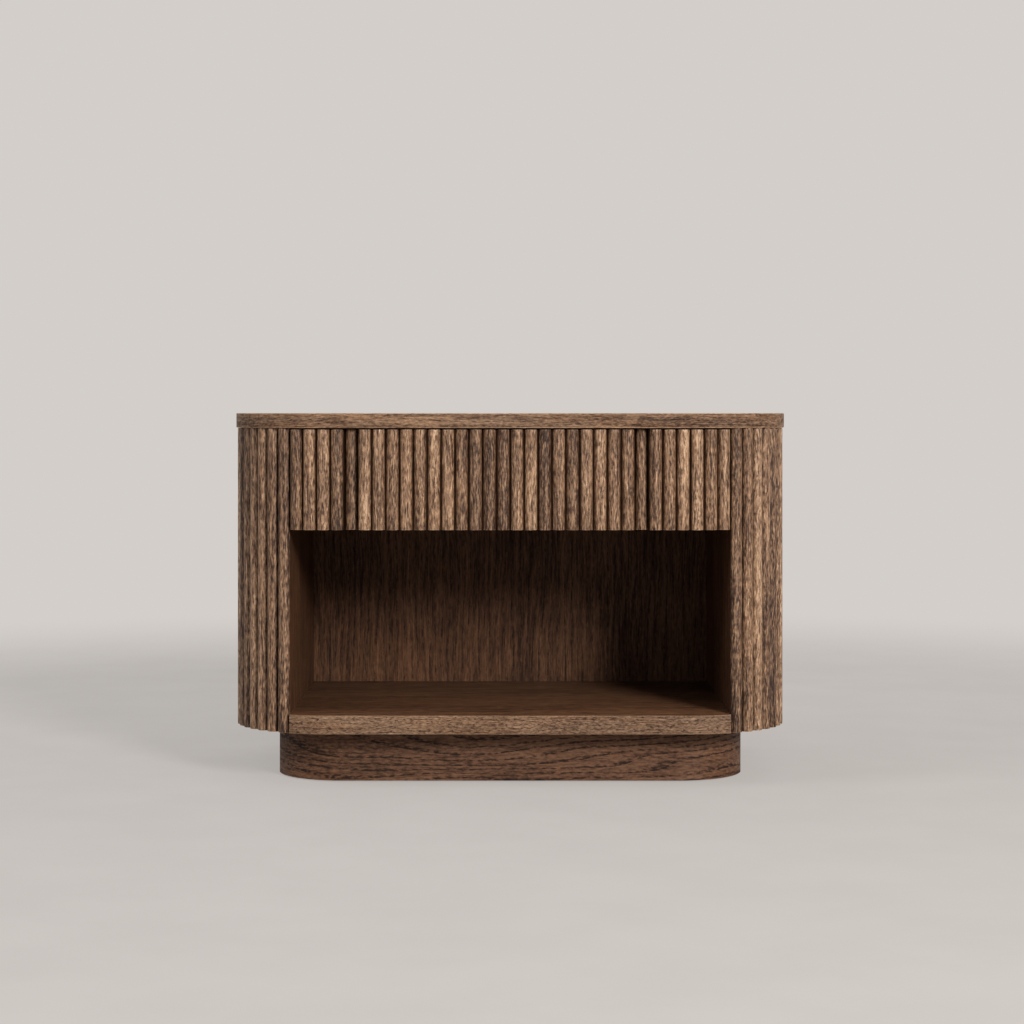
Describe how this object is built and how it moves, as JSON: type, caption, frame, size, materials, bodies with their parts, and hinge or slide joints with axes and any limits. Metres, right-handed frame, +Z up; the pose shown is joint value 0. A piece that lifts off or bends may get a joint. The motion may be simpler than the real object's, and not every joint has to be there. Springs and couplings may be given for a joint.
{
  "type": "open-shelf nightstand",
  "caption": "Wide dark oak nightstand with rounded reeded corners, a reeded drawer with finger recesses above an open shelf, and a recessed plinth.",
  "frame": {"origin": "centre of the footprint of the slab, on the floor", "axes": "+Z up, +X to the right seen from the front, the front faces -Y"},
  "size_m": [0.92, 0.508, 0.606],
  "materials": {
    "oak_slab": "dark-stained wire-brushed oak, long grain, satin",
    "oak_reeds": "dark-stained wire-brushed oak reeds, vertical grain, satin",
    "oak_reeds_recessed": "same oak, set back in the finger recess",
    "oak_shelf": "dark-stained oak board with a brushed edge",
    "oak_inner_panel": "smooth dark-stained oak veneer, vertical grain",
    "oak_back_panel": "smooth dark-stained oak veneer, vertical cathedral grain",
    "oak_plinth": "smooth dark-stained oak veneer, horizontal cathedral grain",
    "dark_plywood": "plywood stained dark to match the oak",
    "plain_plywood": "birch plywood, clear lacquer",
    "drawer_ply": "birch plywood drawer box, clear lacquer",
    "softwood": "planed pine, unfinished",
    "beech_dowel": "fluted beech dowel",
    "zinc_steel": "bright zinc plate",
    "bright_steel": "bright rolled steel",
    "clear_bumper": "soft translucent bumper",
    "nylon_glide": "dark nylon"
  },
  "bodies": {
    "case": {"back_panel": "oak_back_panel", "back_panel_screws": "zinc_steel", "bottom_shelf": "oak_shelf", "carcass_dowels": "beech_dowel", "corner_reeds_left": "oak_reeds", "corner_reeds_right": "oak_reeds", "corner_shell_left": "dark_plywood", "corner_shell_right": "dark_plywood", "drawer_bumpers": "clear_bumper", "drawer_deck": "plain_plywood", "floor_glides": "nylon_glide", "inner_side_panel_left": "oak_inner_panel", "inner_side_panel_right": "oak_inner_panel", "outer_side_panel_left": "dark_plywood", "outer_side_panel_right": "dark_plywood", "plinth_back": "oak_plinth", "plinth_cleats": "softwood", "plinth_corner_left": "oak_plinth", "plinth_corner_right": "oak_plinth", "plinth_cross_rail": "softwood", "plinth_front": "oak_plinth", "plinth_glue_blocks": "softwood", "plinth_screws": "zinc_steel", "plinth_side_left": "oak_plinth", "plinth_side_right": "oak_plinth", "rear_stile_left": "dark_plywood", "rear_stile_right": "dark_plywood", "runner_cabinet_channel_left": "zinc_steel", "runner_cabinet_channel_right": "zinc_steel", "runner_screws_case": "zinc_steel", "side_bottom_plate_left": "dark_plywood", "side_bottom_plate_right": "dark_plywood", "side_reeds_left": "oak_reeds", "side_reeds_right": "oak_reeds", "side_top_plate_left": "dark_plywood", "side_top_plate_right": "dark_plywood", "top_back_rail": "plain_plywood", "top_fixing_screws": "zinc_steel", "top_front_rail": "plain_plywood", "top_slab": "oak_slab"},
    "drawer": {"drawer_bottom": "drawer_ply", "drawer_box_back": "drawer_ply", "drawer_box_front": "drawer_ply", "drawer_front_panel": "dark_plywood", "drawer_front_reeds": "oak_reeds", "drawer_front_screws": "zinc_steel", "drawer_side_left": "drawer_ply", "drawer_side_right": "drawer_ply", "finger_pull_reeds": "oak_reeds_recessed", "runner_drawer_channel_left": "zinc_steel", "runner_drawer_channel_right": "zinc_steel", "runner_screws_drawer": "zinc_steel"},
    "left_inner_cage": {"inner_ball_cage_left": "bright_steel"},
    "right_inner_cage": {"inner_ball_cage_right": "bright_steel"},
    "left_outer_cage": {"outer_ball_cage_left": "bright_steel"},
    "right_outer_cage": {"outer_ball_cage_right": "bright_steel"},
    "left_middle_runner": {"runner_middle_channel_left": "zinc_steel"},
    "right_middle_runner": {"runner_middle_channel_right": "zinc_steel"}
  },
  "joints": [
    {"name": "drawer_slide", "type": "slide", "parent": "case", "child": "drawer", "axis": [0, -1, 0], "range_m": [0, 0.38]},
    {"name": "left_middle_runner_slide", "type": "slide", "parent": "case", "child": "left_middle_runner", "axis": [0, -1, 0], "range_m": [0, 0.19]},
    {"name": "left_outer_cage_slide", "type": "slide", "parent": "case", "child": "left_outer_cage", "axis": [0, -1, 0], "range_m": [0, 0.095]},
    {"name": "left_inner_cage_slide", "type": "slide", "parent": "case", "child": "left_inner_cage", "axis": [0, -1, 0], "range_m": [0, 0.285]},
    {"name": "right_middle_runner_slide", "type": "slide", "parent": "case", "child": "right_middle_runner", "axis": [0, -1, 0], "range_m": [0, 0.19]},
    {"name": "right_outer_cage_slide", "type": "slide", "parent": "case", "child": "right_outer_cage", "axis": [0, -1, 0], "range_m": [0, 0.095]},
    {"name": "right_inner_cage_slide", "type": "slide", "parent": "case", "child": "right_inner_cage", "axis": [0, -1, 0], "range_m": [0, 0.285]}
  ],
  "couplings": [
    {"joint": "left_middle_runner_slide", "follows": "drawer_slide", "ratio": 0.5},
    {"joint": "left_outer_cage_slide", "follows": "drawer_slide", "ratio": 0.25},
    {"joint": "left_inner_cage_slide", "follows": "drawer_slide", "ratio": 0.75},
    {"joint": "right_middle_runner_slide", "follows": "drawer_slide", "ratio": 0.5},
    {"joint": "right_outer_cage_slide", "follows": "drawer_slide", "ratio": 0.25},
    {"joint": "right_inner_cage_slide", "follows": "drawer_slide", "ratio": 0.75}
  ]
}
